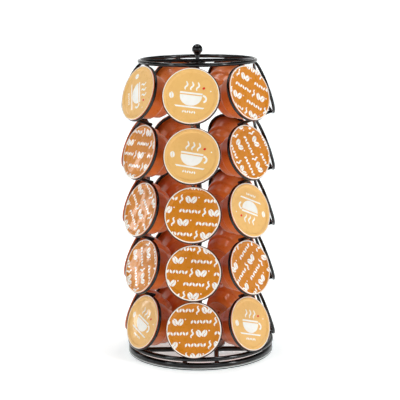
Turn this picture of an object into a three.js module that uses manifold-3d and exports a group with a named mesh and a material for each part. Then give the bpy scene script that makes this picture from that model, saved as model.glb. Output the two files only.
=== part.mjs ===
// Rotating wire tower that holds coffee capsules in seven columns of five tilted rings.
// Millimetres, +Z up, origin on the floor under the spindle, the viewer's side is -Y.
import * as THREE from 'three';
import { mergeVertices } from 'three/addons/utils/BufferGeometryUtils.js';
import Module from 'manifold-3d';

const wasm = await Module();
wasm.setup();

// Driving sizes of the tower
const columnCount = 7;
const tierCount = 5;
const frontColumnTurn = THREE.MathUtils.degToRad(-5.4);
const ringTilt = THREE.MathUtils.degToRad(19.2);

// Gaps
const seatGap = 0.3;
const runningGap = 1.6;
const weldSink = 0.5;
const columnGap = 7.08;
const noseGap = 1;
const bodyClearance = 0.68;

// Wire sizes
const holderWire = 3;
const topRingWire = 3.8;
const bottomRingWire = 4.4;
const baseRingWire = 4.6;
const crossbarWire = 2.8;
const baseBarWire = 5;

// Base ring, to the middle of its wire
const baseRingRadius = 71.5;

// Where a column's end rings lie against the top and the bottom ring, turned from straight below and above
const topSeatTurn = THREE.MathUtils.degToRad(8.8);
const bottomSeatTurn = THREE.MathUtils.degToRad(44);

// Anti-slip strip under the base ring
const stripWidth = 4.6;
const stripHeight = 2;
const stripCorner = 0.6;

// Base bars: an arm in from the side, a bend and a leg out to the front or the rear
const baseArmOffset = 19.5;
const baseLegOffset = 15.6;
const baseBendRun = 8;

// Hub, spindle and bearing
const rodDiameter = 4;
const hubPlateThickness = 1.8;
const rodCollarRadius = 3.4;
const rodCollarHeight = 1.5;
const nutAcrossFlats = 7;
const nutHeight = 2.4;
const rodTail = 0.6;
const thrustRingInner = 4.4;
const thrustRingOuter = 10;
const hubDiscRadius = 8;
const hubDiscThickness = 1.4;
const hubDiscSink = 0.5;

// Finial on the spindle
const finialBallRadius = 5.25;
const finialNeckRadius = 2.9;
const finialLift = 4;
const finialNeckHeight = 3.5;
const finialNeckTurn = THREE.MathUtils.degToRad(21);
const finialBoreDepth = 3.8;

// Capsule
const flangeRadius = 26.9;
const flangeThickness = 1.2;
const flangeClearance = 0.35;
const flangeLip = 4;
const capsuleHeight = 34;
const strutTail = 3.5;

// Outline of the capsule below its flange, as shares of its depth and of its body radius
const bodyOutlineShares = [[0, 1], [0.53, 0.925], [0.6, 0.82], [0.85, 0.76], [1, 0.6]];

// Which rings hold a capsule, from the front column round to the right, top tier first
const filledRings = [
  [1, 1, 1, 1, 1],
  [1, 1, 1, 1, 1],
  [0, 0, 0, 0, 0],
  [1, 1, 1, 1, 1],
  [1, 1, 1, 1, 1],
  [0, 1, 1, 1, 1],
  [1, 1, 1, 1, 1],
];
const columnNames = ['front', 'right', 'far_right', 'rear_right', 'rear_left', 'far_left', 'left'];

// Face counts
const holderSteps = 16;
const holderSides = 5;
const frameSteps = 40;
const frameSides = 6;
const barSides = 8;
const barSteps = 36;
const arcSegments = barSides / 2;
const capsuleSides = 14;
const turnedSides = 12;
const ballSteps = 5;

// One capsule and its ring
const bodyRadius = flangeRadius - flangeLip;
const bodyUnder = holderWire / 2 + seatGap;
const bodyDepth = capsuleHeight - flangeThickness;
const strutOffset = flangeRadius + flangeClearance + holderWire / 2;
const holderRadius = strutOffset - holderWire + weldSink;

// The rod between two rings runs close under a capsule's body and over the ring below
const strutDrop = bodyRadius + bodyClearance + holderWire / 2;
const tierPitch = (strutDrop + strutOffset) / Math.cos(ringTilt);
const strutSpan = tierPitch * Math.sin(ringTilt);

// The circle through the ring centres leaves the gaps between neighbouring rings and capsules
const ringCircles = bodyOutlineShares.map(([down, wide]) => (
  circleFor(bodyRadius * wide, bodyDepth * down - bodyUnder, noseGap)
));
const ringCentreRadius = Math.max(circleFor(holderRadius + holderWire / 2, 0, columnGap), ...ringCircles);

// Heights and rings of the tower
const baseRingZ = stripHeight + seatGap + baseRingWire / 2;
const bottomRingZ = baseRingZ + baseRingWire / 2 + runningGap + bottomRingWire / 2;
const bottomSeat = holderWire / 2 + bottomRingWire / 2 + seatGap;
const ringReach = holderRadius * Math.sin(ringTilt);
const bottomRingRadius = ringCentreRadius + ringReach - bottomSeat * Math.sin(bottomSeatTurn);
const ringRise = holderRadius * Math.cos(ringTilt);
const lowestTierZ = bottomRingZ + bottomSeat * Math.cos(bottomSeatTurn) + ringRise;
const highestTierZ = lowestTierZ + (tierCount - 1) * tierPitch;
const topSeat = holderWire / 2 + topRingWire / 2 + seatGap;
const topRingRadius = ringCentreRadius - ringReach - topSeat * Math.sin(topSeatTurn);
const topRingZ = highestTierZ + ringRise + topSeat * Math.cos(topSeatTurn);

// Hub, bearing and finial
const bendMiddle = Math.hypot(baseLegOffset + baseBendRun / 4, baseArmOffset + baseBendRun / 4);
const hubPlateRadius = bendMiddle - baseBarWire / 2 - seatGap;
const boreRadius = rodDiameter / 2 + seatGap;
const crossbarOffset = boreRadius + crossbarWire / 2;
const hubPlateZ = baseRingZ - hubPlateThickness / 2;
const thrustRingZ = hubPlateZ + hubPlateThickness + seatGap;
const hubDiscLowZ = bottomRingZ - crossbarWire / 2 + hubDiscSink - hubDiscThickness;
const hubDiscHighZ = topRingZ - crossbarWire / 2 + hubDiscSink - hubDiscThickness;
const nutZ = hubPlateZ - seatGap - nutHeight;
const finialZ = topRingZ + crossbarWire / 2 + finialLift;

// The circle for the centres of tilted discs, one per column, that leaves a gap between neighbours
function circleFor(discRadius, inwards, gap) {
  const halfTurn = Math.PI / columnCount;
  const lean = Math.sqrt(1 - (Math.sin(halfTurn) * Math.cos(ringTilt)) ** 2);
  return inwards * Math.cos(ringTilt) + (discRadius * lean + gap / 2) / Math.sin(halfTurn);
}

// Finishes
const blackNickel = { color: 0x1f1f22, roughness: 0.22, metalness: 1 };
const zincSteel = { color: 0x8f9296, roughness: 0.4, metalness: 1 };
const clearVinyl = { color: 0xdfe4e2, roughness: 0.3, metalness: 0 };
const whiteNylon = { color: 0xe8e6df, roughness: 0.5, metalness: 0 };
const capsulePlastic = { color: 0x9c3f12, roughness: 0.35, metalness: 0 };

function makeMesh(name, geometry, finish) {
  const mesh = new THREE.Mesh(geometry, new THREE.MeshStandardMaterial(finish));
  mesh.name = name;
  return mesh;
}

// Keeps only positions and merges the vertices that lie together
function weld(geometry) {
  const bare = new THREE.BufferGeometry();
  bare.setAttribute('position', geometry.getAttribute('position').clone());
  if (geometry.index) bare.setIndex(geometry.index.clone());
  return mergeVertices(bare);
}

function toSolid(geometry) {
  const welded = weld(geometry);
  const vertProperties = new Float32Array(welded.getAttribute('position').array);
  const triVerts = new Uint32Array(welded.index.array);
  return new wasm.Manifold(new wasm.Mesh({ numProp: 3, vertProperties, triVerts }));
}

function toGeometry(solid) {
  const { vertProperties, triVerts } = solid.getMesh();
  const geometry = new THREE.BufferGeometry();
  geometry.setAttribute('position', new THREE.BufferAttribute(vertProperties, 3));
  geometry.setIndex(new THREE.BufferAttribute(triVerts, 1));
  geometry.computeVertexNormals();
  return geometry;
}

function joinAll(geometries) {
  const solids = geometries.map(toSolid);
  return toGeometry(solids.reduce((sum, solid) => sum.add(solid)));
}

// A solid of revolution about +Z from [radius, z] points
function turned(points, sides) {
  const profile = points.map(([radius, z]) => new THREE.Vector2(radius, z));
  return new THREE.LatheGeometry(profile, sides).rotateX(Math.PI / 2);
}

// A flat ring about +Z with its lower face at z
function washer(inner, outer, z, height, sides) {
  const points = [[inner, z], [outer, z], [outer, z + height], [inner, z + height], [inner, z]];
  return turned(points, sides);
}

function roundWire(radius, wire, z) {
  return new THREE.TorusGeometry(radius, wire / 2, frameSides, frameSteps).translate(0, 0, z);
}

// A straight wire along X, half as long on either side of the middle
function wireAlongX(halfLength, wire, y, z) {
  const bar = new THREE.CylinderGeometry(wire / 2, wire / 2, 2 * halfLength, barSides);
  return bar.rotateZ(Math.PI / 2).translate(0, y, z);
}

// How far a wire at the given offset reaches inside a ring of frameSteps flats
function reachInside(ringRadius, ringWire, offset, wire) {
  const inside = (ringRadius - ringWire / 2) * Math.cos(Math.PI / frameSteps) - seatGap;
  return Math.sqrt(inside ** 2 - (offset + wire / 2) ** 2);
}

// The fixed base

function makeAntiSlipStrip() {
  const inner = baseRingRadius - stripWidth / 2;
  const outer = baseRingRadius + stripWidth / 2;
  const top = stripHeight;
  const points = [
    [inner, 0], [outer, 0], [outer, top - stripCorner], [outer - stripCorner, top],
    [inner + stripCorner, top], [inner, top - stripCorner], [inner, 0],
  ];
  return makeMesh('anti_slip_strip', turned(points, frameSteps), clearVinyl);
}

function makeBaseRing() {
  return makeMesh('base_ring', roundWire(baseRingRadius, baseRingWire, baseRingZ), blackNickel);
}

// The middle line of a base bar: an arm along X, a bend and a leg along Y, all at the base ring's height
function bentLine(side, end) {
  const place = (x, y) => new THREE.Vector3(side * x, end * y, baseRingZ);
  const armReach = reachInside(baseRingRadius, baseRingWire, baseArmOffset, baseBarWire);
  const legReach = reachInside(baseRingRadius, baseRingWire, baseLegOffset, baseBarWire);
  const bendStart = place(baseLegOffset + baseBendRun, baseArmOffset);
  const bendEnd = place(baseLegOffset, baseArmOffset + baseBendRun);
  const line = new THREE.CurvePath();
  line.add(new THREE.LineCurve3(place(armReach, baseArmOffset), bendStart));
  line.add(new THREE.QuadraticBezierCurve3(bendStart, place(baseLegOffset, baseArmOffset), bendEnd));
  line.add(new THREE.LineCurve3(bendEnd, place(baseLegOffset, legReach)));
  return line;
}

function makeBaseBar(name, side, end) {
  const section = new THREE.Shape();
  section.absarc(0, 0, baseBarWire / 2, 0, 2 * Math.PI);
  const options = { steps: barSteps, curveSegments: arcSegments, extrudePath: bentLine(side, end) };
  return makeMesh(name, weld(new THREE.ExtrudeGeometry(section, options)), blackNickel);
}

function makeHubPlate() {
  const geometry = washer(boreRadius, hubPlateRadius, hubPlateZ, hubPlateThickness, frameSteps);
  return makeMesh('hub_plate', geometry, zincSteel);
}

function makeThrustRing() {
  const height = hubDiscLowZ - thrustRingZ - seatGap;
  const geometry = washer(thrustRingInner, thrustRingOuter, thrustRingZ, height, turnedSides);
  return makeMesh('thrust_ring', geometry, whiteNylon);
}

function makeRodNut() {
  const outline = new THREE.Shape();
  const corner = nutAcrossFlats / Math.sqrt(3);
  for (let i = 0; i < 6; i += 1) {
    const turn = (i * Math.PI) / 3;
    const place = [corner * Math.cos(turn), corner * Math.sin(turn)];
    if (i === 0) outline.moveTo(...place);
    else outline.lineTo(...place);
  }
  outline.closePath();
  const bore = new THREE.Path();
  bore.absarc(0, 0, boreRadius, 0, 2 * Math.PI, true);
  outline.holes.push(bore);
  const options = { depth: nutHeight, bevelEnabled: false, curveSegments: arcSegments };
  const geometry = new THREE.ExtrudeGeometry(outline, options).translate(0, 0, nutZ);
  return makeMesh('rod_nut', weld(geometry), zincSteel);
}

function makeRod() {
  const radius = rodDiameter / 2;
  const collarTop = thrustRingZ + rodCollarHeight;
  const top = finialZ + finialBoreDepth - seatGap;
  const points = [
    [0, nutZ - rodTail], [radius, nutZ - rodTail], [radius, thrustRingZ],
    [rodCollarRadius, thrustRingZ], [rodCollarRadius, collarTop], [radius, collarTop],
    [radius, top], [0, top],
  ];
  return makeMesh('spindle_rod', turned(points, turnedSides), blackNickel);
}

function makeFinial() {
  const neckTop = finialZ + finialNeckHeight;
  const ballZ = neckTop + finialBallRadius * Math.sin(finialNeckTurn);
  const points = [
    [0, finialZ + finialBoreDepth], [boreRadius, finialZ + finialBoreDepth],
    [boreRadius, finialZ], [finialNeckRadius, finialZ],
  ];
  for (let i = 0; i < ballSteps; i += 1) {
    const turn = THREE.MathUtils.lerp(-finialNeckTurn, Math.PI / 2, i / ballSteps);
    points.push([finialBallRadius * Math.cos(turn), ballZ + finialBallRadius * Math.sin(turn)]);
  }
  points.push([0, ballZ + finialBallRadius]);
  return makeMesh('finial', turned(points, turnedSides), blackNickel);
}

// The turning carousel

// Two parallel wires across a ring, held together round the spindle by a pierced disc
function makeCrossbar(name, ringRadius, ringWire, ringZ, discZ) {
  const halfLength = reachInside(ringRadius, ringWire, crossbarOffset, crossbarWire);
  const disc = washer(boreRadius, hubDiscRadius, discZ, hubDiscThickness, turnedSides);
  const front = wireAlongX(halfLength, crossbarWire, -crossbarOffset, ringZ);
  const rear = wireAlongX(halfLength, crossbarWire, crossbarOffset, ringZ);
  return makeMesh(name, joinAll([disc, front, rear]), blackNickel);
}

// One ring in its own frame: the ring's axis is +Z and the tower is on the -Z side, +Y is up the ring
function holderRing() {
  return new THREE.TorusGeometry(holderRadius, holderWire / 2, holderSides, holderSteps);
}

// The rod from the lowest point of one ring over the top of the ring below it
function strut() {
  const length = strutSpan + strutTail;
  const rod = new THREE.CylinderGeometry(holderWire / 2, holderWire / 2, length, barSides);
  return rod.rotateX(Math.PI / 2).translate(0, -strutDrop, -length / 2);
}

// Moves a geometry from the ring's frame to its tier, in the column's frame with +X outwards
function toTier(geometry, tier) {
  const z = highestTierZ - tier * tierPitch;
  const outwards = new THREE.Vector3(Math.cos(ringTilt), 0, Math.sin(ringTilt));
  const up = new THREE.Vector3(-Math.sin(ringTilt), 0, Math.cos(ringTilt));
  const side = new THREE.Vector3().crossVectors(up, outwards);
  const place = new THREE.Matrix4().makeBasis(side, up, outwards).setPosition(ringCentreRadius, 0, z);
  return geometry.applyMatrix4(place);
}

function makeColumn(name) {
  const pieces = [];
  for (let tier = 0; tier < tierCount; tier += 1) {
    pieces.push(toTier(holderRing(), tier));
    if (tier < tierCount - 1) pieces.push(toTier(strut(), tier));
  }
  return makeMesh(name, joinAll(pieces), blackNickel);
}

function makeCapsule(name, tier) {
  const rim = bodyUnder + flangeThickness;
  const points = bodyOutlineShares.map(([down, wide]) => [bodyRadius * wide, bodyUnder - bodyDepth * down]);
  points.unshift([0, rim], [flangeRadius, rim], [flangeRadius, bodyUnder]);
  points.push([0, bodyUnder - bodyDepth]);
  const geometry = turned(points.reverse(), capsuleSides);
  return makeMesh(name, toTier(geometry, tier), capsulePlastic);
}

const tower = new THREE.Group();

tower.add(
  makeAntiSlipStrip(),
  makeBaseRing(),
  makeBaseBar('base_bar_front_left', -1, -1),
  makeBaseBar('base_bar_front_right', 1, -1),
  makeBaseBar('base_bar_rear_left', -1, 1),
  makeBaseBar('base_bar_rear_right', 1, 1),
  makeHubPlate(),
  makeThrustRing(),
  makeRodNut(),
  makeRod(),
  makeFinial(),
);

const carousel = new THREE.Group();
carousel.add(
  makeMesh('top_ring', roundWire(topRingRadius, topRingWire, topRingZ), blackNickel),
  makeMesh('bottom_ring', roundWire(bottomRingRadius, bottomRingWire, bottomRingZ), blackNickel),
  makeCrossbar('top_crossbar', topRingRadius, topRingWire, topRingZ, hubDiscHighZ),
  makeCrossbar('bottom_crossbar', bottomRingRadius, bottomRingWire, bottomRingZ, hubDiscLowZ),
);

columnNames.forEach((side, index) => {
  const column = new THREE.Group();
  column.rotation.z = frontColumnTurn - Math.PI / 2 + (index * 2 * Math.PI) / columnCount;
  column.add(makeColumn(`ring_column_${side}`));
  filledRings[index].forEach((filled, tier) => {
    if (filled) column.add(makeCapsule(`capsule_${side}_${tier + 1}`, tier));
  });
  carousel.add(column);
});
tower.add(carousel);

export default tower;
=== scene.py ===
import math
import random

import bmesh
import bpy
from mathutils import Matrix, Vector, geometry, noise


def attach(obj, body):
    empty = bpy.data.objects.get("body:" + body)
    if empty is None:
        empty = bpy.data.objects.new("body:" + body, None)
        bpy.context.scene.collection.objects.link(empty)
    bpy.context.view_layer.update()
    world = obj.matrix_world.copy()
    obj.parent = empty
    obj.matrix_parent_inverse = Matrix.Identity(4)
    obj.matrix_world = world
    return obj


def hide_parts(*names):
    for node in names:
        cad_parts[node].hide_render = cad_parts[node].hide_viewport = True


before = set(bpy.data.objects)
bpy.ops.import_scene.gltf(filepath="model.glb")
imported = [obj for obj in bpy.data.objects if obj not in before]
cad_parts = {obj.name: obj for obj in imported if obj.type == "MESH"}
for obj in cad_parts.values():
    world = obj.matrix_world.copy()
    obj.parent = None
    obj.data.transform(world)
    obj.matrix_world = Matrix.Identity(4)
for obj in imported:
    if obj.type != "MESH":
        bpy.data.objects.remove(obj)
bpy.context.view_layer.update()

# Lengths are in millimetres until a mesh is made, in metres. In a column's own frame +X points outwards.
MM = 0.001
MERGE_DISTANCE = 1e-7

# Tower: its columns, anticlockwise seen from above, the tiers of rings in each, the radius that the
# rings' centres lie at, and how far the tiers lie apart
COLUMNS = ["front", "right", "far_right", "rear_right", "rear_left", "far_left", "left"]
TIERS = 5
FRONT_TURN = math.radians(-5.4)
TILT = math.radians(19.2)
RING_CENTRE = 66.5
PITCH = 57

# Gaps: between pieces that rest on each other, and under the turning frame
SEAT_GAP, RUNNING_GAP = 0.3, 1.6

# Radii of the wires
HOLDER_WIRE, TOP_WIRE, BOTTOM_WIRE, BASE_WIRE = 1.5, 1.9, 2.2, 2.3
CROSSBAR_WIRE, BAR_WIRE = 1.4, 2.5

# Capsule: flange, body, film and knurl, with the room beside the flange and under the body
FLANGE_RADIUS, FLANGE_THICKNESS, FLANGE_CLEARANCE = 26.9, 1.2, 0.35
BODY_RADIUS, BODY_CLEARANCE = 22.9, 0.68
FILM_RADIUS, FILM_DROP = 26.75, 0.1
NUBS = 48

# Heights of the flange's back and front over the middle line of the ring that holds it
FLANGE_BACK = HOLDER_WIRE + SEAT_GAP
FLANGE_FRONT = FLANGE_BACK + FLANGE_THICKNESS

# Rings that hold the capsules, and the rods that run from one down over the top of the next
WELD_SINK, STRUT_SPAN, STRUT_TAIL = 0.5, 18.745, 3.5
STRUT_OFFSET = FLANGE_RADIUS + FLANGE_CLEARANCE + HOLDER_WIRE
STRUT_DROP = BODY_RADIUS + BODY_CLEARANCE + HOLDER_WIRE
HOLDER_RADIUS = STRUT_OFFSET - 2 * HOLDER_WIRE + WELD_SINK

# Base ring on its strip, and the turning frame's bottom ring above it
STRIP_WIDTH, STRIP_HEIGHT = 4.6, 2.0
BASE_RADIUS = 71.5
BASE_Z = STRIP_HEIGHT + SEAT_GAP + BASE_WIRE
BOTTOM_Z = BASE_Z + BASE_WIRE + RUNNING_GAP + BOTTOM_WIRE

# Radii and heights of the turning frame and on the spindle, within 0.02 mm of the CAD model's
BOTTOM_RADIUS, TOP_RADIUS = 72.35, 57.3
TOP_TIER_Z, TOP_Z = 266.37, 294.82
TOP_DISC_Z, FINIAL_Z, ROD_TOP = 292.51, 300.21, 303.7

# Level wire rings: radius of the middle line, radius of the wire, height
TOP_RING = (TOP_RADIUS, TOP_WIRE, TOP_Z)
BOTTOM_RING = (BOTTOM_RADIUS, BOTTOM_WIRE, BOTTOM_Z)
BASE_RING = (BASE_RADIUS, BASE_WIRE, BASE_Z)
RING_STEPS = 160

# Base bars: places of the arm and the leg beside the middle, run of the bend, and how far the bars run
# into the base ring
ARM_OFFSET, LEG_OFFSET, BEND_RUN = 19.5, 15.6, 8
BAR_OVERLAP = 0.1

# Spindle, with the holes that it passes through, its nut, and the ball on its end
ROD_RADIUS = 2
BORE = ROD_RADIUS + SEAT_GAP
NUT_HEIGHT = 2.4
FINIAL_HOLE = 3.8

# Crossbars: the wires' places beside the middle, how far they run into the ring, and their discs
CROSSBAR_OFFSET = BORE + CROSSBAR_WIRE
CROSSBAR_OVERLAP = 0.3
DISC_RADIUS, DISC_THICKNESS, DISC_SINK = 8, 1.4, 0.5
BOTTOM_DISC_Z = BOTTOM_Z - CROSSBAR_WIRE + DISC_SINK - DISC_THICKNESS
DISC_EDGES = (0.2, 0.4)

# Hub: the plate between the bars and the ring that the frame turns on, each as inner radius, outer
# radius, bottom, top, and rounding of the inner and outer edges
HUB_PLATE_RADIUS, HUB_PLATE_THICKNESS = 24.95, 1.8
HUB_PLATE_Z = BASE_Z - HUB_PLATE_THICKNESS / 2
HUB_PLATE_TOP = HUB_PLATE_Z + HUB_PLATE_THICKNESS
HUB_PLATE = (BORE, HUB_PLATE_RADIUS, HUB_PLATE_Z, HUB_PLATE_TOP, 0.2, 0.5)
THRUST_Z = HUB_PLATE_TOP + SEAT_GAP
THRUST_RING = (4.4, 10, THRUST_Z, BOTTOM_DISC_Z - SEAT_GAP, 0.3, 0.4)
NUT_Z = HUB_PLATE_Z - SEAT_GAP - NUT_HEIGHT

# Weld beads: shift from the middle line of the rod or the level ring, then half sizes along X, Y and Z
STRUT_UPPER_WELD = ((0.1, -0.7, -0.5), (2.3, 1.3, 1.3))
STRUT_LOWER_WELD = ((0, -1.25, 0), (2.1, 1.15, 2.0))
TOP_RING_WELD = ((0.3, 0, -1.92), (1.5, 2.4, 1.4))
BOTTOM_RING_WELD = ((0.85, 0, 2.0), (1.9, 2.6, 1.5))

# Weld beads of bars: how far past the ring's inside or the hub plate's rim, then half sizes along the
# bar, across it and in height
BAR_WELD = (-0.2, 1.6, 3.1, 2.1)
HUB_WELD = (0.4, 1.5, 1.5, 1.1)
CROSSBAR_WELD = (0, 1.3, 1.9, 1.5)

# Weld beads where a ring's wire meets itself: how much more than the wire they measure
BASE_SEAM = (0.2, 0.2, 0.12)
FRAME_SEAM = (0.25, 0.25, 0.1)

# The lid's pale edge lies outside the first radius round a cup and outside the second round a pattern
EDGE_RADIUS, PRINT_RADIUS = 25.95, 25.75
PRINT_MARGIN = 0.2

# Knurled shoulder: the radii it lies between, the depth it starts at and how deep it is cut
KNURL_INNER, KNURL_OUTER, KNURL_DEPTH, KNURL_CUT = 19.6, 21.6, 15.5, 0.28

# Lid film: the sunk middle, the ridge where it is sealed and the turned-down rim, as radius, run and height
SINK_RADIUS, SINK_RUN, SINK_DEPTH = 23.6, 0.8, 0.75
RIDGE_RADIUS, RIDGE_RUN, RIDGE_HEIGHT = 25.0, 0.35, 0.22
RIM_RADIUS, RIM_RUN, RIM_DROP = 26.2, 0.3, 0.1

# Circles of points in the film, from the rim inwards
LID_RADII = (FILM_RADIUS, EDGE_RADIUS, PRINT_RADIUS, 25.35, 25.0, 24.65, 24.2, 23.6, 23.3, 23.0, 22.6)

# Wrinkles in the film: how fine, how far apart two lids lie in the noise, height
WRINKLES = [(0.09, 3.1, 0.16), (0.25, 5.7, 0.03)]

# A capsule's material slots; slot 0 is its plastic body
BARE, PRINTED, EDGE, DOT = 1, 2, 3, 4


# Meshes


class Build:
    """Collects faces in millimetres, each with a material slot, and makes one object of them."""

    def __init__(self):
        self.verts, self.faces, self.slots = [], [], []

    def add(self, part, matrix=None):
        """part is points and faces, and each face's slot where they aren't all 0."""
        verts, faces = part[:2]
        base = len(self.verts)
        self.verts += [matrix @ Vector(vert) if matrix else Vector(vert) for vert in verts]
        self.faces += [[base + i for i in face] for face in faces]
        self.slots += part[2] if len(part) > 2 else [0] * len(faces)
        return self

    def make(self, name, materials, sharp=40):
        mesh = bpy.data.meshes.new(name)
        mesh.from_pydata([vert * MM for vert in self.verts], [], self.faces)
        for material in materials:
            mesh.materials.append(material)
        mesh.polygons.foreach_set("material_index", self.slots)
        joined = bmesh.new()
        joined.from_mesh(mesh)
        bmesh.ops.remove_doubles(joined, verts=joined.verts, dist=MERGE_DISTANCE)
        joined.to_mesh(mesh)
        joined.free()
        mesh.shade_smooth()
        mesh.set_sharp_from_angle(angle=math.radians(sharp))
        made = bpy.data.objects.new(name, mesh)
        bpy.context.collection.objects.link(made)
        return made


def circle(radius, steps, z=0.0, phase=0.0):
    turns = [2 * math.pi * i / steps + phase for i in range(steps)]
    return [Vector((radius * math.cos(turn), radius * math.sin(turn), z)) for turn in turns]


def strip_faces(rows, steps, closed_rows=False):
    """Quads between rows of points, each row a closed loop of the given number of steps."""
    faces = []
    for row in range(rows if closed_rows else rows - 1):
        low, high = row * steps, (row + 1) % rows * steps
        for i in range(steps):
            after = (i + 1) % steps
            faces.append([low + i, low + after, high + after, high + i])
    return faces


def torus(radius, wire, steps, sides, z=0.0):
    verts = []
    for i in range(steps):
        turn = 2 * math.pi * i / steps
        for side in range(sides):
            side_turn = 2 * math.pi * side / sides
            out = radius + wire * math.cos(side_turn)
            up = wire * math.sin(side_turn)
            verts.append(Vector((out * math.cos(turn), out * math.sin(turn), z + up)))
    faces = [face[::-1] for face in strip_faces(steps, sides, True)]
    return verts, faces


def rod(points, wire, sides, rounding=0.4):
    """A round wire along a line of points, with rounded ends."""
    points = [Vector(point) for point in points]
    last = len(points) - 1
    ways = [(points[min(i + 1, last)] - points[max(i - 1, 0)]).normalized() for i in range(last + 1)]
    turns = [0, math.pi / 4, math.pi / 2]
    bevel = [(rounding * (1 - math.sin(turn)), rounding * (1 - math.cos(turn))) for turn in turns]
    stations = [(points[0] + ways[0] * inset, ways[0], wire - shrink) for inset, shrink in reversed(bevel)]
    stations += [(point, way, wire) for point, way in zip(points[1:-1], ways[1:-1])]
    stations += [(points[last] - ways[last] * inset, ways[last], wire - shrink) for inset, shrink in bevel]
    across = stations[0][1].orthogonal().normalized()
    verts = []
    for centre, way, radius in stations:
        across = (across - way * across.dot(way)).normalized()
        other = way.cross(across)
        for side in range(sides):
            turn = 2 * math.pi * side / sides
            verts.append(centre + (across * math.cos(turn) + other * math.sin(turn)) * radius)
    faces = strip_faces(len(stations), sides)
    faces.append(list(range(sides))[::-1])
    faces.append([len(verts) - sides + side for side in range(sides)])
    return verts, faces


def turned(profile, steps, slots=None, ripple=None):
    """A solid of revolution about Z. A point at radius 0 is one vertex, and without one the profile
    closes on itself. ripple(row, step) is added to a point's radius."""
    verts, rows = [], []
    for row, (radius, z) in enumerate(profile):
        if radius == 0:
            rows.append([len(verts)])
            verts.append(Vector((0, 0, z)))
            continue
        rows.append(list(range(len(verts), len(verts) + steps)))
        for i in range(steps):
            turn = 2 * math.pi * i / steps
            out = radius + (ripple(row, i) if ripple else 0)
            verts.append(Vector((out * math.cos(turn), out * math.sin(turn), z)))
    closed = profile[0][0] != 0
    faces, marks = [], []
    for row in range(len(rows) if closed else len(rows) - 1):
        low, high = rows[row], rows[(row + 1) % len(rows)]
        for i in range(steps):
            after = (i + 1) % steps
            if len(low) == 1:
                faces.append([low[0], high[after], high[i]])
            elif len(high) == 1:
                faces.append([low[i], low[after], high[0]])
            else:
                faces.append([low[i], low[after], high[after], high[i]])
            marks.append(slots[row] if slots else 0)
    return verts, faces, marks


def rounded(corners, steps=3, closed=False):
    """A profile with short arcs for corners. A corner is a radius, a height and how far its arc reaches."""
    side_share = 0.45
    out = []
    count = len(corners)
    for i, (x, y, rounding) in enumerate(corners):
        here = Vector((x, y))
        if rounding == 0 or (not closed and i in (0, count - 1)):
            out.append((x, y))
            continue
        before = Vector(corners[i - 1][:2]) - here
        after = Vector(corners[(i + 1) % count][:2]) - here
        reach = min(rounding, before.length * side_share, after.length * side_share)
        start, end = here + before.normalized() * reach, here + after.normalized() * reach
        for k in range(steps + 1):
            share = k / steps
            point = start * (1 - share) ** 2 + here * 2 * share * (1 - share) + end * share ** 2
            out.append((point.x, point.y))
    return out


def washer(inner, outer, low, high, inner_edge, outer_edge, steps):
    """A flat ring with softened edges."""
    corners = [(inner, low, inner_edge), (outer, low, outer_edge)]
    corners += [(outer, high, outer_edge), (inner, high, inner_edge)]
    return turned(rounded(corners, closed=True), steps)


def bead(centre, size, seed):
    """A small uneven weld bead: a squashed ball."""
    rows, steps = 6, 10
    unevenness, fineness = 0.12, 1.7
    verts = [Vector((0, 0, -1))]
    for row in range(1, rows):
        rise = math.pi * row / rows - math.pi / 2
        for i in range(steps):
            turn = 2 * math.pi * i / steps
            x, y = math.cos(rise) * math.cos(turn), math.cos(rise) * math.sin(turn)
            verts.append(Vector((x, y, math.sin(rise))))
    verts.append(Vector((0, 0, 1)))
    faces = [[0, 1 + (i + 1) % steps, 1 + i] for i in range(steps)]
    for row in range(rows - 2):
        low, high = 1 + row * steps, 1 + (row + 1) * steps
        for i in range(steps):
            after = (i + 1) % steps
            faces.append([low + i, low + after, high + after, high + i])
    last = 1 + (rows - 2) * steps
    faces += [[last + i, last + (i + 1) % steps, len(verts) - 1] for i in range(steps)]
    offset = Vector((seed, 0, 0))
    uneven = [vert * (1 + unevenness * noise.noise(vert * fineness + offset)) for vert in verts]
    return [Vector(centre) + vert * Vector(size) for vert in uneven], faces


def weld(joint, kind, seed):
    shift, size = kind
    return bead(Vector(joint) + Vector(shift), size, seed)


def ring_with_seam(sizes, sides, seam, swell, seed):
    """A level wire ring with a bead at the angle where its wire is welded to itself."""
    radius, wire, z = sizes
    made = Build().add(torus(radius, wire, RING_STEPS, sides, z))
    place = (radius * math.cos(seam), radius * math.sin(seam), z)
    return made.add(bead(place, [wire + extra for extra in swell], seed))


# Places


def column_matrix(index):
    turn = FRONT_TURN - math.pi / 2 + index * 2 * math.pi / len(COLUMNS)
    return Matrix.Rotation(turn, 4, "Z")


def tier_matrix(tier):
    """The frame of a ring in its column: X to the side, Y up the ring, Z out of the tower."""
    out = Vector((math.cos(TILT), 0, math.sin(TILT)))
    up = Vector((-math.sin(TILT), 0, math.cos(TILT)))
    side = up.cross(out)
    basis = Matrix((side, up, out)).transposed().to_4x4()
    return Matrix.Translation((RING_CENTRE, 0, TOP_TIER_Z - tier * PITCH)) @ basis


# Materials


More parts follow.
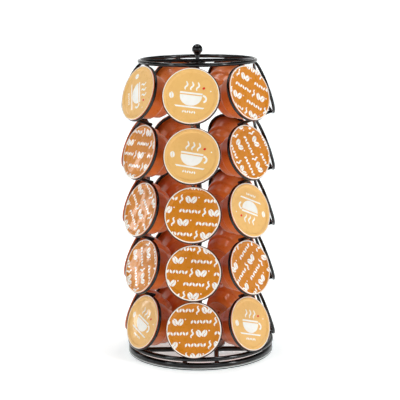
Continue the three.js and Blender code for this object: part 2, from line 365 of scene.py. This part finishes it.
class Nodes:
    """A material's node tree, with short calls for what the materials here need."""

    RAMP_ENDS = (0.35, 0.65)
    SPREAD_ENDS = (0.3, 0.7)

    def __init__(self, name):
        self.material = bpy.data.materials.new(name)
        self.material.use_nodes = True
        self.tree = self.material.node_tree
        self.shader = self.tree.nodes["Principled BSDF"]
        self.place = self.tree.nodes.new("ShaderNodeTexCoord").outputs["Object"]

    def set(self, **values):
        for key, value in values.items():
            self.shader.inputs[key.replace("_", " ")].default_value = value
        return self

    def noise(self, scale, detail=2):
        node = self.tree.nodes.new("ShaderNodeTexNoise")
        node.inputs["Scale"].default_value = scale
        node.inputs["Detail"].default_value = detail
        self.tree.links.new(self.place, node.inputs["Vector"])
        return node.outputs["Fac"]

    def colour(self, low, high, scale, detail=2):
        """The base colour wanders between two colours."""
        node = self.tree.nodes.new("ShaderNodeValToRGB")
        for element, position, value in zip(node.color_ramp.elements, self.RAMP_ENDS, (low, high)):
            element.position = position
            element.color = (*value, 1)
        self.tree.links.new(self.noise(scale, detail), node.inputs["Fac"])
        self.tree.links.new(node.outputs["Color"], self.shader.inputs["Base Color"])
        return self

    def roughness(self, low, high, scale):
        """The roughness wanders between two values."""
        node = self.tree.nodes.new("ShaderNodeMapRange")
        node.inputs["From Min"].default_value, node.inputs["From Max"].default_value = self.SPREAD_ENDS
        node.inputs["To Min"].default_value, node.inputs["To Max"].default_value = low, high
        self.tree.links.new(self.noise(scale), node.inputs["Value"])
        self.tree.links.new(node.outputs["Result"], self.shader.inputs["Roughness"])
        return self

    def bump(self, strength, distance, scale, detail=2):
        """Fine unevenness; the distance is in metres."""
        node = self.tree.nodes.new("ShaderNodeBump")
        node.inputs["Strength"].default_value = strength
        node.inputs["Distance"].default_value = distance
        self.tree.links.new(self.noise(scale, detail), node.inputs["Height"])
        self.tree.links.new(node.outputs["Normal"], self.shader.inputs["Normal"])
        return self


def black_nickel():
    nodes = Nodes("black_nickel").set(Metallic=1.0)
    nodes.colour((0.032, 0.033, 0.034), (0.052, 0.052, 0.053), scale=140, detail=3)
    return nodes.roughness(0.09, 0.15, scale=420).bump(0.08, 0.0001, scale=900).material


def zinc_steel():
    nodes = Nodes("zinc_steel").set(Metallic=1.0)
    nodes.colour((0.42, 0.43, 0.45), (0.56, 0.57, 0.59), scale=300, detail=3)
    return nodes.roughness(0.25, 0.45, scale=700).bump(0.1, 0.0002, scale=1500).material


def clear_vinyl():
    nodes = Nodes("clear_vinyl").set(IOR=1.35, Transmission_Weight=0.4)
    nodes.colour((0.9, 0.95, 0.94), (0.95, 0.98, 0.97), scale=200)
    return nodes.roughness(0.04, 0.1, scale=500).bump(0.05, 0.0002, scale=800).material


# Painted shadow: a near-black teal for the strip's lowest band, standing in for the contact shadow where
# the strip meets the floor
def painted_contact_shadow():
    nodes = Nodes("painted_contact_shadow").colour((0.006, 0.016, 0.016), (0.012, 0.026, 0.026), scale=240)
    return nodes.roughness(0.15, 0.3, scale=500).bump(0.05, 0.0002, scale=800).material


def white_nylon():
    nodes = Nodes("white_nylon").colour((0.78, 0.77, 0.73), (0.86, 0.85, 0.82), scale=260)
    return nodes.roughness(0.42, 0.55, scale=800).bump(0.08, 0.0002, scale=1600).material


def capsule_plastic():
    nodes = Nodes("capsule_plastic").set(IOR=1.48, Specular_IOR_Level=0.6)
    nodes.set(Sheen_Weight=0.4, Sheen_Roughness=0.4, Coat_Weight=0.3, Coat_Roughness=0.25)
    nodes.colour((0.68, 0.14, 0.011), (0.76, 0.165, 0.016), scale=70, detail=3)
    return nodes.roughness(0.26, 0.38, scale=500).bump(0.06, 0.0002, scale=1300).material


def film(name, low, high):
    nodes = Nodes(name).set(Specular_IOR_Level=0.2, Coat_Weight=0.4, Coat_Roughness=0.05)
    nodes.colour(low, high, scale=120, detail=3)
    return nodes.roughness(0.24, 0.36, scale=300).bump(0.06, 0.0003, scale=260, detail=3).material


def pale_floor():
    nodes = Nodes("pale_floor").colour((0.84, 0.9, 0.905), (0.86, 0.92, 0.925), scale=6)
    return nodes.set(Roughness=0.7, Emission_Strength=0.46, Emission_Color=(1, 1, 1, 1)).material


NICKEL = black_nickel()
ZINC = zinc_steel()
VINYL = clear_vinyl()
CONTACT_SHADOW = painted_contact_shadow()
NYLON = white_nylon()
PLASTIC = capsule_plastic()
ORANGE = film("orange_film", (0.652, 0.217, 0.009), (0.672, 0.23, 0.011))
TAN = film("tan_film", (0.867, 0.506, 0.163), (0.887, 0.524, 0.174))
WHITE_INK = film("white_ink", (0.95, 0.92, 0.85), (0.98, 0.96, 0.91))
PALE_EDGE = film("film_edge", (0.92, 0.89, 0.8), (0.97, 0.95, 0.88))
RED_INK = film("red_ink", (0.72, 0.03, 0.015), (0.8, 0.045, 0.02))


def ride(piece, body, node):
    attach(piece, body)
    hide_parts(node)


# Base


def make_strip():
    """The clear strip under the base ring, with its lowest band on the floor painted near-black as a
    painted contact shadow.
    """
    inner, outer = BASE_RADIUS - STRIP_WIDTH / 2, BASE_RADIUS + STRIP_WIDTH / 2
    # The strip is painted dark up to this height, a painted contact shadow; the corner of the profile sits
    # at the same height
    shadow_top, seam = 1.0, 0.05
    low_edge, top_edge = 0.3, 0.6
    corners = [(inner, 0, low_edge), (outer, 0, low_edge), (outer, shadow_top, 0), (outer, shadow_top + seam, 0)]
    corners += [(outer, STRIP_HEIGHT, top_edge), (inner, STRIP_HEIGHT, top_edge)]
    profile = rounded(corners, steps=4, closed=True)
    heights = [z for _, z in profile]
    slots = [int(max(z, after) <= shadow_top) for z, after in zip(heights, heights[1:] + heights[:1])]
    made = Build().add(turned(profile, RING_STEPS, slots))
    ride(made.make("clear_strip_ring", [VINYL, CONTACT_SHADOW]), "root", "anti_slip_strip")


def make_base_ring():
    past, along, across, high = BAR_WELD
    arm, leg = base_reach(ARM_OFFSET) + past, base_reach(LEG_OFFSET) + past
    made = ring_with_seam(BASE_RING, sides=20, seam=2.1, swell=BASE_SEAM, seed=3)
    for side in (-1, 1):
        for end in (-1, 1):
            made.add(bead((side * arm, end * ARM_OFFSET, BASE_Z), (along, across, high), end + 2 * side))
            made.add(bead((side * LEG_OFFSET, end * leg, BASE_Z), (across, along, high), end + 3 * side))
    ride(made.make("base_wire_ring", [NICKEL]), "root", "base_ring")


def base_reach(offset):
    """How far a bar at this offset runs before it meets the inside of the base ring."""
    return math.sqrt((BASE_RADIUS - BASE_WIRE) ** 2 - offset ** 2)


def make_base_bar(side, end):
    """An arm in from the side, a bend by the hub plate and a leg out to the front or the rear."""
    straight_steps, bend_steps = 12, 20
    arm, leg = base_reach(ARM_OFFSET) + BAR_OVERLAP, base_reach(LEG_OFFSET) + BAR_OVERLAP
    start, stop = LEG_OFFSET + BEND_RUN, ARM_OFFSET + BEND_RUN
    points = []
    for i in range(straight_steps):
        points.append((side * (arm + (start - arm) * i / straight_steps), end * ARM_OFFSET, BASE_Z))
    for i in range(bend_steps + 1):
        share = i / bend_steps
        x, y = LEG_OFFSET + BEND_RUN * (1 - share) ** 2, ARM_OFFSET + BEND_RUN * share ** 2
        points.append((side * x, end * y, BASE_Z))
    for i in range(1, straight_steps + 1):
        points.append((side * LEG_OFFSET, end * (stop + (leg - stop) * i / straight_steps), BASE_Z))
    made = Build().add(rod(points, BAR_WIRE, sides=20))
    past, *size = HUB_WELD
    middle_run = BEND_RUN / 4
    x, y = LEG_OFFSET + middle_run, ARM_OFFSET + middle_run
    reach = (HUB_PLATE_RADIUS + past) / math.hypot(x, y)
    made.add(bead((side * x * reach, end * y * reach, BASE_Z), size, side + 4 * end))
    name = ("front" if end < 0 else "rear") + ("_left" if side < 0 else "_right")
    ride(made.make("base_wire_" + name, [NICKEL]), "root", "base_bar_" + name)


def make_hub():
    plate = washer(*HUB_PLATE, steps=96)
    ride(Build().add(plate).make("hub_disc_plate", [ZINC]), "root", "hub_plate")
    thrust = washer(*THRUST_RING, steps=72)
    ride(Build().add(thrust).make("nylon_thrust_ring", [NYLON]), "root", "thrust_ring")


def make_nut():
    """A hexagon nut with chamfered corners, turned as a profile whose outer radius follows the flats."""
    steps, low, high = 72, NUT_Z, NUT_Z + NUT_HEIGHT
    corner, flat, face = 4.0, 3.5, 3.3
    chamfer, hole_chamfer = 0.45, 0.3
    hole = BORE + hole_chamfer
    profile = [(BORE, low + hole_chamfer), (hole, low), (face, low), (corner, low + chamfer)]
    profile += [(corner, high - chamfer), (face, high), (hole, high), (BORE, high - hole_chamfer)]

    def to_flats(row, step):
        if profile[row][0] != corner:
            return 0
        turn = (2 * math.pi * step / steps) % (math.pi / 3) - math.pi / 6
        return min(flat / math.cos(turn), corner) - corner

    nut = turned(profile, steps, ripple=to_flats)
    ride(Build().add(nut).make("spindle_nut", [ZINC], sharp=30), "root", "rod_nut")


def make_spindle():
    """The rod with the collar at its foot."""
    tail, end_edge = 0.6, 0.35
    collar, collar_height, collar_edge = 3.4, 1.5, 0.3
    low_fillet, high_fillet = 0.1, 0.2
    foot, collar_top = NUT_Z - tail, THRUST_Z + collar_height
    corners = [(0, foot, 0), (ROD_RADIUS, foot, end_edge), (ROD_RADIUS, THRUST_Z, low_fillet)]
    corners += [(collar, THRUST_Z, collar_edge), (collar, collar_top, collar_edge)]
    corners += [(ROD_RADIUS, collar_top, high_fillet), (ROD_RADIUS, ROD_TOP, end_edge), (0, ROD_TOP, 0)]
    made = Build().add(turned(rounded(corners), steps=32))
    ride(made.make("spindle", [NICKEL]), "root", "spindle_rod")


def make_finial():
    """The ball on its flared neck, hollow where the rod's end fits."""
    ball, flare, neck = 5.25, 4.9, 3.5
    foot, chamfer, flare_power, ball_rows = 2.5, 0.4, 1.6, 17
    waist, waist_z, hole_z = foot + chamfer, FINIAL_Z + chamfer, FINIAL_Z + FINIAL_HOLE
    start = -math.acos(flare / ball)
    ball_z = FINIAL_Z + neck - ball * math.sin(start)
    profile = [(0, hole_z), (BORE, hole_z), (BORE, FINIAL_Z), (foot, FINIAL_Z), (waist, waist_z)]
    for share in (0.25, 0.5, 0.75):
        radius = waist + (flare - waist) * share ** flare_power
        profile.append((radius, waist_z + (neck - chamfer) * share))
    for i in range(ball_rows):
        turn = start + (math.pi / 2 - start) * i / ball_rows
        profile.append((ball * math.cos(turn), ball_z + ball * math.sin(turn)))
    profile.append((0, ball_z + ball))
    piece = Build().add(turned(profile, steps=64)).make("ball_finial", [NICKEL])
    ride(piece, "root", "finial")


# Turning frame


def make_frame_ring(name, node, sizes, seam):
    made = ring_with_seam(sizes, sides=18, seam=seam, swell=FRAME_SEAM, seed=5)
    ride(made.make(name, [NICKEL]), "carousel", node)


def make_crossbar(name, node, sizes, disc_z):
    """Two wires across a ring, beside the spindle, on the disc that turns about it."""
    radius, wire, z = sizes
    past, *size = CROSSBAR_WELD
    made = Build().add(washer(BORE, DISC_RADIUS, disc_z, disc_z + DISC_THICKNESS, *DISC_EDGES, steps=64))
    for side in (-1, 1):
        y = side * CROSSBAR_OFFSET
        inside_x = math.sqrt((radius - wire) ** 2 - y ** 2)
        half = inside_x + CROSSBAR_OVERLAP
        points = [(x, y, z) for x in (-half, -half / 2, half / 2, half)]
        made.add(rod(points, CROSSBAR_WIRE, sides=16))
        for end in (-1, 1):
            made.add(bead((end * (inside_x + past), y, z), size, side + 3 * end))
    ride(made.make(name, [NICKEL]), "carousel", node)


def make_rings(index):
    """One column: its tilted rings, the short rods between them and the weld beads."""
    strut_steps, strut_rounding = 4, 0.45
    length = STRUT_SPAN + STRUT_TAIL
    strut = [(0, -STRUT_DROP, -length * i / strut_steps) for i in range(strut_steps + 1)]
    made = Build()
    turn = column_matrix(index)
    for tier in range(TIERS):
        place = turn @ tier_matrix(tier)
        made.add(torus(HOLDER_RADIUS, HOLDER_WIRE, steps=96, sides=14), place)
        if tier == TIERS - 1:
            continue
        seed = index * 10 + tier
        made.add(rod(strut, HOLDER_WIRE, sides=14, rounding=strut_rounding), place)
        made.add(weld((0, -STRUT_DROP, 0), STRUT_UPPER_WELD, seed), place)
        made.add(weld((0, -STRUT_DROP, -STRUT_SPAN), STRUT_LOWER_WELD, seed + 5), place)
    made.add(weld((TOP_RADIUS, 0, TOP_Z), TOP_RING_WELD, index + 70), turn)
    made.add(weld((BOTTOM_RADIUS, 0, BOTTOM_Z), BOTTOM_RING_WELD, index + 90), turn)
    name = COLUMNS[index]
    piece = made.make("ring_stack_" + name, [NICKEL])
    ride(piece, "carousel", "ring_column_" + name)


# Capsules


def smooth(share):
    """A soft step from 0 to 1."""
    share = min(max(share, 0), 1)
    return share * share * (3 - 2 * share)


def capsule_body():
    """The moulded cup. Each corner is a radius, a depth behind the flange and how far its arc reaches."""
    hole = [(0, 30.2, 0), (1.5, 30.2, 0.3), (1.5, 33.0, 0.4), (3.4, 33.0, 0.5), (3.7, 32.1, 0.6)]
    nose = [(11.6, 32.1, 0.6), (12.1, 32.8, 0.6), (13.6, 32.8, 1.2), (16.6, 29.0, 1.4), (17.3, 27.6, 1.0)]
    shoulder = [(18.5, 20.4, 0.8), (19.0, 19.5, 0.6), (20.7, 18.3, 1.0), (21.2, 17.0, 1.0)]
    wall = [(22.6, 2.2, 0.6), (23.6, 0, 1.2)]
    edge, bevel, back = 0.2, 0.06, 0.3
    cup = hole + nose + shoulder + wall
    corners = [(radius, FLANGE_BACK - depth, reach) for radius, depth, reach in cup]
    corners += [(FLANGE_RADIUS - back, FLANGE_BACK, back), (FLANGE_RADIUS, FLANGE_BACK + back, edge)]
    corners += [(FLANGE_RADIUS, FLANGE_FRONT - edge, edge), (FLANGE_RADIUS - bevel, FLANGE_FRONT, edge / 2)]
    profile = rounded(corners + [(FILM_RADIUS, FLANGE_FRONT - FILM_DROP, 0)])

    def knurl(row, step):
        radius, z = profile[row]
        near = KNURL_INNER < radius < KNURL_OUTER and z < FLANGE_BACK - KNURL_DEPTH
        return -KNURL_CUT if near and step % 2 else 0

    return turned(profile, NUBS * 2, ripple=knurl)


def film_height(x, y, seed):
    """The film's height over the flange: sealed on the rim, sunk and slightly wrinkled inside."""
    radius = math.hypot(x, y)
    wrinkle = 0
    for fineness, apart, height in WRINKLES:
        wrinkle += noise.noise(Vector((x * fineness, y * fineness, seed * apart))) * height
    sink = smooth((SINK_RADIUS - radius) / SINK_RUN) * (wrinkle - SINK_DEPTH)
    ridge = RIDGE_HEIGHT * math.exp(-((radius - RIDGE_RADIUS) / RIDGE_RUN) ** 2)
    return FLANGE_FRONT - FILM_DROP + ridge + sink - smooth((radius - RIM_RADIUS) / RIM_RUN) * RIM_DROP


def turn_about(points, angle, dx=0.0, dy=0.0, scale=1.0):
    """Points turned by an angle and scaled, then moved by dx and dy."""
    cosine, sine = math.cos(angle), math.sin(angle)
    return [(dx + scale * (x * cosine - y * sine), dy + scale * (x * sine + y * cosine)) for x, y in points]


def arc(width, height, start, end, steps):
    """Points of an ellipse between two angles in degrees."""
    turns = [math.radians(start + (end - start) * i / steps) for i in range(steps + 1)]
    return [(width * math.cos(turn), height * math.sin(turn)) for turn in turns]


def dot(width, height):
    """A closed ellipse of twelve points."""
    return arc(width, height, 0, 330, 11)


def slit(y):
    """The S of the line between a bean's halves: how far it lies to the side."""
    sway, bend = 0.3, 2.0
    return sway * math.sin(bend * y)


def bean_halves():
    """Two halves of a coffee bean with an S-shaped slit between them."""
    width, height, gap = 1.6, 2.3, 0.14
    halves = []
    for side in (-1, 1):
        rim = [(side * x, y) for x, y in arc(width, height, -90, 90, 12)]
        outer = [(x, y) for x, y in rim if side * (x - slit(y)) > gap]
        inner = [(slit(y) + side * gap, y) for y in (k / 2 for k in range(4, -5, -1))]
        halves.append(outer + inner)
    return halves


def squiggle(length, thick, high, waves):
    """A wavy ribbon with slim ends."""
    end_share = 0.35
    steps = round(10 * waves)
    upper, lower = [], []
    for i in range(steps + 1):
        share = i / steps
        x, y = length * (share - 0.5), high * math.sin(2 * math.pi * waves * share)
        slope = high * 2 * math.pi * waves / length * math.cos(2 * math.pi * waves * share)
        half = thick / 2 * (end_share + (1 - end_share) * math.sin(math.pi * share) ** 0.5)
        across, along = half * slope / math.hypot(1, slope), half / math.hypot(1, slope)
        upper.append((x - across, y + along))
        lower.append((x + across, y - along))
    return upper + lower[::-1]


def leaf(width, height):
    """A pointed leaf, upright."""
    side = [(width / 2 * math.sin(math.pi * i / 6), height * (i / 6 - 0.5)) for i in range(7)]
    return side + [(-x, y) for x, y in side[-2:0:-1]]


def pattern_motifs(angle, seed):
    """Staggered rows of leaves, a curl of steam, two beans and a dot: each an outline and its slot."""
    start, repeat, stagger, drift, row_gap = -20, 46, 20, 3, 11.2
    leaf_gap, leaf_lean = 3.0, 0.45
    curl_x, curl_lean = 23, 1.4
    beans, bean_scale = ((0.45, 29.5), (-0.45, 35)), 1.6
    dot_x, dot_y = 39.6, 2.6
    rng = random.Random(seed)
    dx, dy = rng.uniform(-9, 9), rng.uniform(-4, 4)
    outlines = []
    for row in range(-3, 4):
        for col in range(-1, 3):
            x, y = col * repeat + (row % 2) * stagger + row * drift + start + dx, row * row_gap + dy
            for k in range(7):
                lean = leaf_lean if k % 2 else -leaf_lean
                outlines.append(turn_about(leaf(width=2.2, height=4.2), lean, x + k * leaf_gap, y))
            curl = squiggle(length=8.6, thick=1.7, high=0.85, waves=1.5)
            outlines.append(turn_about(curl, curl_lean, x + curl_x, y))
            for lean, bean_x in beans:
                outlines += [turn_about(half, lean, x + bean_x, y, bean_scale) for half in bean_halves()]
            outlines.append(turn_about(dot(width=0.7, height=0.7), 0, x + dot_x, y + dot_y))
    return [(turn_about(outline, angle), PRINTED) for outline in outlines]


def cup_motifs(angle):
    """A plain cup, its saucer and three curls of steam in the middle, and a few small marks."""
    scale = 1.15
    rim = [(-9.2, 3.0), (-9.4, 1.5), (9.4, 1.5), (9.2, 3.0)]
    bowl = [(-9.2, 0.6)] + arc(9.2, 8.2, 180, 360, 18)[1:-1] + [(9.2, 0.6)]
    handle = [(x + 9.2, y - 1.6) for x, y in arc(4.3, 3.7, -62, 80, 9) + arc(2.7, 2.1, 80, -62, 9)]
    saucer = [(-12.5, -8.6), (-11.2, -9.9), (11.2, -9.9), (12.5, -8.6)]
    motifs = [(rim, PRINTED), (bowl, PRINTED), (handle, PRINTED), (saucer, PRINTED)]
    for x in (-4.8, 0, 4.8):
        steam = squiggle(length=7.2, thick=1.4, high=0.75, waves=1.25)
        motifs.append((turn_about(steam, angle=1.45, dx=x, dy=8.3), PRINTED))
    motifs.append((turn_about(dot(width=1.25, height=1.0), angle=0.6, dx=9.6, dy=7.4), DOT))
    for half in bean_halves():
        motifs.append((turn_about(half, angle=0.25, dx=-16.0, dy=-1.0, scale=1.2), PRINTED))
    leaves, leaf_gap, leaf_lean = 6, 1.9, 0.4
    for k in range(leaves):
        lean = leaf_lean if k % 2 else -leaf_lean
        x = (k - (leaves - 1) / 2) * leaf_gap
        motifs.append((turn_about(leaf(width=1.3, height=2.5), lean, x, dy=-13.4), PRINTED))
    motifs.append((turn_about(dot(width=0.6, height=0.6), angle=0, dx=15.6, dy=5.6), PRINTED))
    return [(turn_about(outline, angle, scale=scale), slot) for outline, slot in motifs]


def inside(point, outline):
    """Whether a point lies in a closed outline, by counting the sides that it sees to its right."""
    x, y = point
    within = False
    for (ax, ay), (bx, by) in zip(outline, outline[1:] + outline[:1]):
        if (ay > y) != (by > y) and x < ax + (y - ay) * (bx - ax) / (by - ay):
            within = not within
    return within


def clipped(x, y):
    """Keeps a point of the print inside the film's edge."""
    scale = min(1, (PRINT_RADIUS + PRINT_MARGIN) / max(math.hypot(x, y), 1))
    return x * scale, y * scale


def lid(motifs, seed, edge):
    """The lid film as one mesh: print, edge and embossing are regions of it. The edge lies outside
    the given radius."""
    spacing, row_share, reach, half_count = 3.4, 0.866, 21.5, 7
    tolerance, edge_slack = 1e-5, 0.02
    points, edges, regions = [], [], []

    def loop(outline):
        base, count = len(points), len(outline)
        points.extend(Vector(point) for point in outline)
        edges.extend((base + i, base + (i + 1) % count) for i in range(count))

    steps = 2 * NUBS
    for i, radius in enumerate(LID_RADII):
        loop([point.xy for point in circle(radius, steps, phase=(i % 2) * math.pi / steps)])
    for outline, slot in motifs:
        if min(math.hypot(x, y) for x, y in outline) < PRINT_RADIUS - PRINT_MARGIN:
            outline = [clipped(x, y) for x, y in outline]
            loop(outline)
            xs, ys = zip(*outline)
            regions.append((min(xs), max(xs), min(ys), max(ys), outline, slot))
    for row in range(-half_count, half_count + 1):
        for col in range(-half_count, half_count + 1):
            x, y = (col + 0.5 * (row % 2)) * spacing, row * spacing * row_share
            if math.hypot(x, y) < reach:
                points.append(Vector((x, y)))
    verts, _, faces, _, _, _ = geometry.delaunay_2d_cdt(points, edges, [], 0, tolerance)
    slots = []
    for face in faces:
        middle = sum((verts[i] for i in face), Vector((0, 0))) / len(face)
        if middle.length > edge - edge_slack:
            slots.append(EDGE)
            continue
        x, y = middle
        inked = [slot for left, right, low, high, outline, slot in regions
                 if left < x < right and low < y < high and inside(middle, outline)]
        slots.append(inked[0] if inked else BARE)
    raised = [Vector((vert.x, vert.y, film_height(vert.x, vert.y, seed))) for vert in verts]
    return raised, [list(face) for face in faces], slots


# Each lid's print: P for the pattern, C for the cup, then the turn in degrees, top tier first
LIDS = {
    "front": ["C-7", "C-9", "P-4", "P-3", "P2"],
    "right": ["P-32", "P-74", "C155", "P34", "C-18"],
    "rear_right": ["P40", "C12", "P-20", "P75", "C-30"],
    "rear_left": ["C20", "P-55", "P10", "C-12", "P33"],
    "far_left": ["", "P18", "P-40", "C8", "P60"],
    "left": ["C-62", "P3", "P-38", "P-60", "C-14"],
}


def make_capsule(body, name, place, mark, seed):
    angle = math.radians(float(mark[1:]))
    if mark[0] == "P":
        base, film_lid = ORANGE, lid(pattern_motifs(angle, seed), seed, PRINT_RADIUS)
    else:
        base, film_lid = TAN, lid(cup_motifs(angle), seed, EDGE_RADIUS)
    made = Build().add(body, place).add(film_lid, place)
    piece = made.make("filled_pod_" + name, [PLASTIC, base, WHITE_INK, PALE_EDGE, RED_INK], sharp=35)
    ride(piece, "capsule_" + name, "capsule_" + name)


def make_capsules():
    body = capsule_body()
    for index, side in enumerate(COLUMNS):
        for tier, mark in enumerate(LIDS.get(side, [])):
            if mark:
                place = column_matrix(index) @ tier_matrix(tier)
                make_capsule(body, f"{side}_{tier + 1}", place, mark, index * TIERS + tier)


make_strip()
make_base_ring()
for bar_side in (-1, 1):
    for bar_end in (-1, 1):
        make_base_bar(bar_side, bar_end)
make_hub()
make_nut()
make_spindle()
make_finial()
make_frame_ring("upper_wire_ring", "top_ring", TOP_RING, seam=1.9)
make_frame_ring("lower_wire_ring", "bottom_ring", BOTTOM_RING, seam=1.2)
make_crossbar("upper_cross_wires", "top_crossbar", TOP_RING, TOP_DISC_Z)
make_crossbar("lower_cross_wires", "bottom_crossbar", BOTTOM_RING, BOTTOM_DISC_Z)
for column in range(len(COLUMNS)):
    make_rings(column)
make_capsules()


# Floor, light and camera; from here on lengths are in metres, apart from the floor's own


def make_floor():
    radius, below, steps = 15000, 0.02, 96
    mesh = bpy.data.meshes.new("floor")
    mesh.from_pydata([point * MM for point in circle(radius, steps, -below)], [], [list(range(steps))])
    mesh.materials.append(pale_floor())
    floor = bpy.data.objects.new("floor", mesh)
    bpy.context.collection.objects.link(floor)


def area_light(name, place, size, power):
    """A rectangle of light that faces the middle of the tower."""
    aim = Vector((0, 0, 0.15))
    lamp = bpy.data.lights.new(name, "AREA")
    lamp.shape = "RECTANGLE"
    lamp.size, lamp.size_y = size
    lamp.energy = power
    made = bpy.data.objects.new(name, lamp)
    made.location = Vector(place)
    made.rotation_euler = (aim - Vector(place)).to_track_quat("-Z", "Y").to_euler()
    bpy.context.collection.objects.link(made)


class Sky:
    """The world's node tree: a plain studio sky with long lamps overhead, by the direction looked in."""

    SOFT_EDGE = 0.04
    LAMP_FRONT = (-0.45, -0.35)
    LAMP_REAR_RUN = 0.06
    LAMP_LOW = (0.55, 0.65)

    def __init__(self):
        world = bpy.data.worlds.new("studio")
        bpy.context.scene.world = world
        world.use_nodes = True
        self.tree = world.node_tree
        way = self.tree.nodes.new("ShaderNodeTexCoord").outputs["Generated"]
        split = self.tree.nodes.new("ShaderNodeSeparateXYZ")
        self.tree.links.new(way, split.inputs["Vector"])
        self.x, self.y, self.z = split.outputs
        self.tree.nodes["Background"].inputs["Color"].default_value = (1, 1, 1, 1)

    def calculate(self, operation, *values):
        node = self.tree.nodes.new("ShaderNodeMath")
        node.operation = operation
        for socket, value in zip(node.inputs, values):
            if isinstance(value, (int, float)):
                socket.default_value = value
            else:
                self.tree.links.new(value, socket)
        return node.outputs["Value"]

    def step(self, source, start, end, low=0, high=1):
        """A smooth step from low to high between two values of the source."""
        node = self.tree.nodes.new("ShaderNodeMapRange")
        node.interpolation_type = "SMOOTHSTEP"
        node.inputs["From Min"].default_value, node.inputs["From Max"].default_value = start, end
        node.inputs["To Min"].default_value, node.inputs["To Max"].default_value = low, high
        self.tree.links.new(source, node.inputs["Value"])
        return node.outputs["Result"]

    def lamp(self, inner, outer, rear, strength):
        """A long lamp overhead, between two slopes to the side, from the front to the rear."""
        slope = self.calculate("DIVIDE", self.x, self.z)
        soft = self.SOFT_EDGE if outer > inner else -self.SOFT_EDGE
        from_inner = self.step(slope, inner, inner + soft)
        to_outer = self.step(slope, outer - soft, outer, 1, 0)
        from_front = self.step(self.y, *self.LAMP_FRONT)
        to_rear = self.step(self.y, rear, rear + self.LAMP_REAR_RUN, 1, 0)
        across = self.calculate("MULTIPLY", from_inner, to_outer)
        along = self.calculate("MULTIPLY", from_front, to_rear)
        high = self.calculate("MULTIPLY", self.step(self.z, *self.LAMP_LOW), strength)
        return self.calculate("MULTIPLY", self.calculate("MULTIPLY", across, along), high)


def make_sky():
    """Bright at the horizon, dark overhead, and dimmer at the far left, which the left lids mirror."""
    horizon, horizon_z, zenith, zenith_z = 0.9, 0.1, 0.03, 0.6
    left_share, left_x, left_end_x = 0.5, -0.85, -0.7
    lamp_slopes, lamp_rear, lamp_strength = [(0.2, 0.42), (-0.3, -0.5)], 0.62, 7
    sky = Sky()
    total = sky.step(sky.z, horizon_z, zenith_z, horizon, zenith)
    total = sky.calculate("MULTIPLY", total, sky.step(sky.x, left_x, left_end_x, left_share, 1))
    for inner, outer in lamp_slopes:
        total = sky.calculate("ADD", total, sky.lamp(inner, outer, lamp_rear, lamp_strength))
    sky.tree.links.new(total, sky.tree.nodes["Background"].inputs["Strength"])


def make_lights():
    make_sky()
    area_light("softbox_left", place=(-0.95, -0.75, 0.6), size=(0.14, 0.7), power=1.95)
    area_light("softbox_right", place=(0.9, -0.7, 0.5), size=(0.14, 0.7), power=3.4)
    area_light("window_rear_left", place=(-0.95, 0.38, 0.32), size=(0.026, 0.95), power=0.75)


def make_camera():
    """The photograph's camera, from the fit to the lids, rings and ball; focal is in its pixels."""
    distance, height, pitch, yaw, roll = 1.2359, 0.3918, 0.1896, 0.0008, -0.0114
    focal, photo_width, sensor_width = 1250, 400, 36
    ahead = Vector((math.sin(yaw) * math.cos(pitch), math.cos(yaw) * math.cos(pitch), -math.sin(pitch)))
    level = Vector((math.cos(yaw), -math.sin(yaw), 0))
    upright = level.cross(ahead)
    right = math.cos(roll) * level + math.sin(roll) * upright
    up = math.cos(roll) * upright - math.sin(roll) * level
    camera = bpy.data.cameras.new("camera")
    camera.sensor_width = sensor_width
    camera.lens = focal / photo_width * sensor_width
    made = bpy.data.objects.new("camera", camera)
    basis = Matrix((right, up, -ahead)).transposed().to_4x4()
    made.matrix_world = Matrix.Translation((0, -distance, height)) @ basis
    bpy.context.collection.objects.link(made)
    bpy.context.scene.camera = made


make_floor()
make_lights()
make_camera()
bpy.context.scene.view_settings.view_transform = "Standard"
